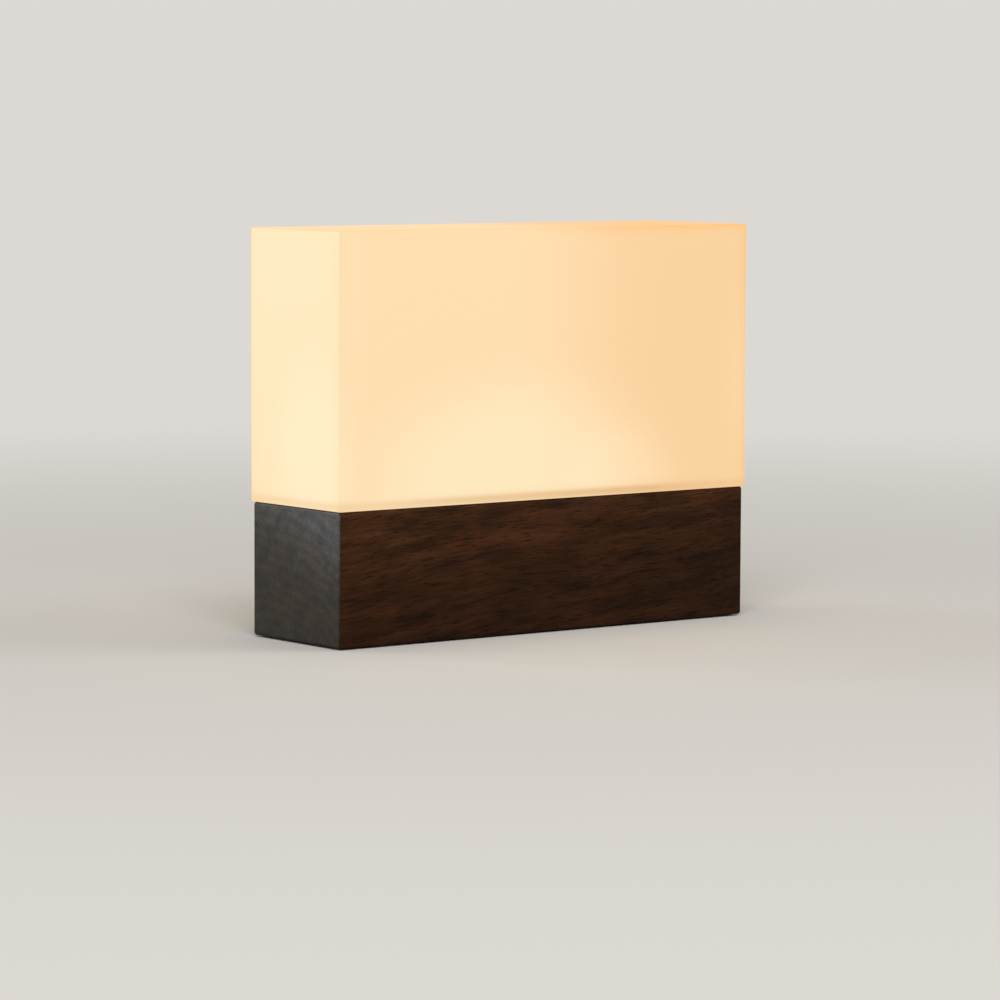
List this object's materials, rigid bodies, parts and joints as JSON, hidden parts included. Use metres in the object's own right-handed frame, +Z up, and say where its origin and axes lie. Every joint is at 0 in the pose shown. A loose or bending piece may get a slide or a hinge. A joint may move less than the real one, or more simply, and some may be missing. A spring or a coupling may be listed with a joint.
{
  "type": "table lamp",
  "caption": "Rechargeable table light: a lit box of opal acrylic standing on a walnut block, with a push button and a charging socket in the back.",
  "frame": {"origin": "on the table, under the middle of the light", "axes": "+X along the light, to the right of someone in front of it; +Y from the front to the back, where the button and the charging socket are; +Z up"},
  "size_m": [0.12, 0.035, 0.0944],
  "materials": {
    "opal_acrylic": "opal cast acrylic, satin polished, lit from inside",
    "oiled_walnut": "dark walnut, sanded and oiled, satin",
    "black_plastic": "moulded, fine matte texture",
    "white_plastic": "moulded, satin",
    "silicone": "translucent silicone, matte",
    "black_rubber": "matte",
    "white_film": "white reflector film, satin",
    "white_board": "white solder mask",
    "green_board": "green solder mask",
    "led_phosphor": "yellow phosphor in a white package",
    "zinc_steel": "zinc plated",
    "black_steel": "black oxide",
    "brass": "turned",
    "nickel": "nickel plated",
    "cell_sleeve": "blue shrink sleeve over a steel can",
    "grey_foam": "closed-cell foam",
    "red_wire": "silicone insulation",
    "black_wire": "silicone insulation",
    "clear_acrylic": "clear, polished",
    "chip_epoxy": "moulded epoxy",
    "ferrite": "pressed ferrite"
  },
  "bodies": {
    "lamp_body": {"walnut_base": "oiled_walnut", "diffuser": "opal_acrylic", "bottom_cover": "black_plastic", "cover_screw_1": "black_steel", "cover_screw_2": "black_steel", "cover_screw_3": "black_steel", "cover_screw_4": "black_steel", "cover_insert_1": "brass", "cover_insert_2": "brass", "cover_insert_3": "brass", "cover_insert_4": "brass", "foot_1": "black_rubber", "foot_2": "black_rubber", "foot_3": "black_rubber", "foot_4": "black_rubber", "battery_cell": "cell_sleeve", "battery_cradle": "black_plastic", "cradle_screw_left": "zinc_steel", "cradle_screw_right": "zinc_steel", "battery_foam_pad": "grey_foam", "battery_tab_positive": "nickel", "battery_tab_negative": "nickel", "battery_lead_red": "red_wire", "battery_lead_black": "black_wire", "led_lead_red": "red_wire", "led_lead_black": "black_wire", "control_board": "green_board", "board_standoff_1": "brass", "board_standoff_2": "brass", "board_screw_1": "zinc_steel", "board_screw_2": "zinc_steel", "charge_chip": "chip_epoxy", "led_driver_chip": "chip_epoxy", "power_inductor": "ferrite", "battery_connector": "white_plastic", "usb_socket_shell": "nickel", "usb_socket_tongue": "black_plastic", "charge_led": "led_phosphor", "charge_light_pipe": "clear_acrylic", "push_switch_housing": "black_plastic", "push_switch_spring": "zinc_steel", "led_tray": "white_plastic", "tray_screw_left": "zinc_steel", "tray_screw_right": "zinc_steel", "diffuser_seal": "silicone", "led_board": "white_board", "led_1": "led_phosphor", "led_2": "led_phosphor", "led_3": "led_phosphor", "led_4": "led_phosphor", "led_5": "led_phosphor", "led_6": "led_phosphor", "led_7": "led_phosphor", "led_8": "led_phosphor", "reflector_sheet": "white_film"},
    "power_button": {"button_cap": "black_plastic", "push_switch_plunger": "white_plastic"}
  },
  "joints": [
    {"name": "power_button_press", "type": "slide", "parent": "lamp_body", "child": "power_button", "axis": [0, -1, 0], "range_m": [0, 0.0018], "stiffness_N_per_m": 800, "springref_m": -0.00125, "deforming": ["push_switch_spring"]}
  ]
}
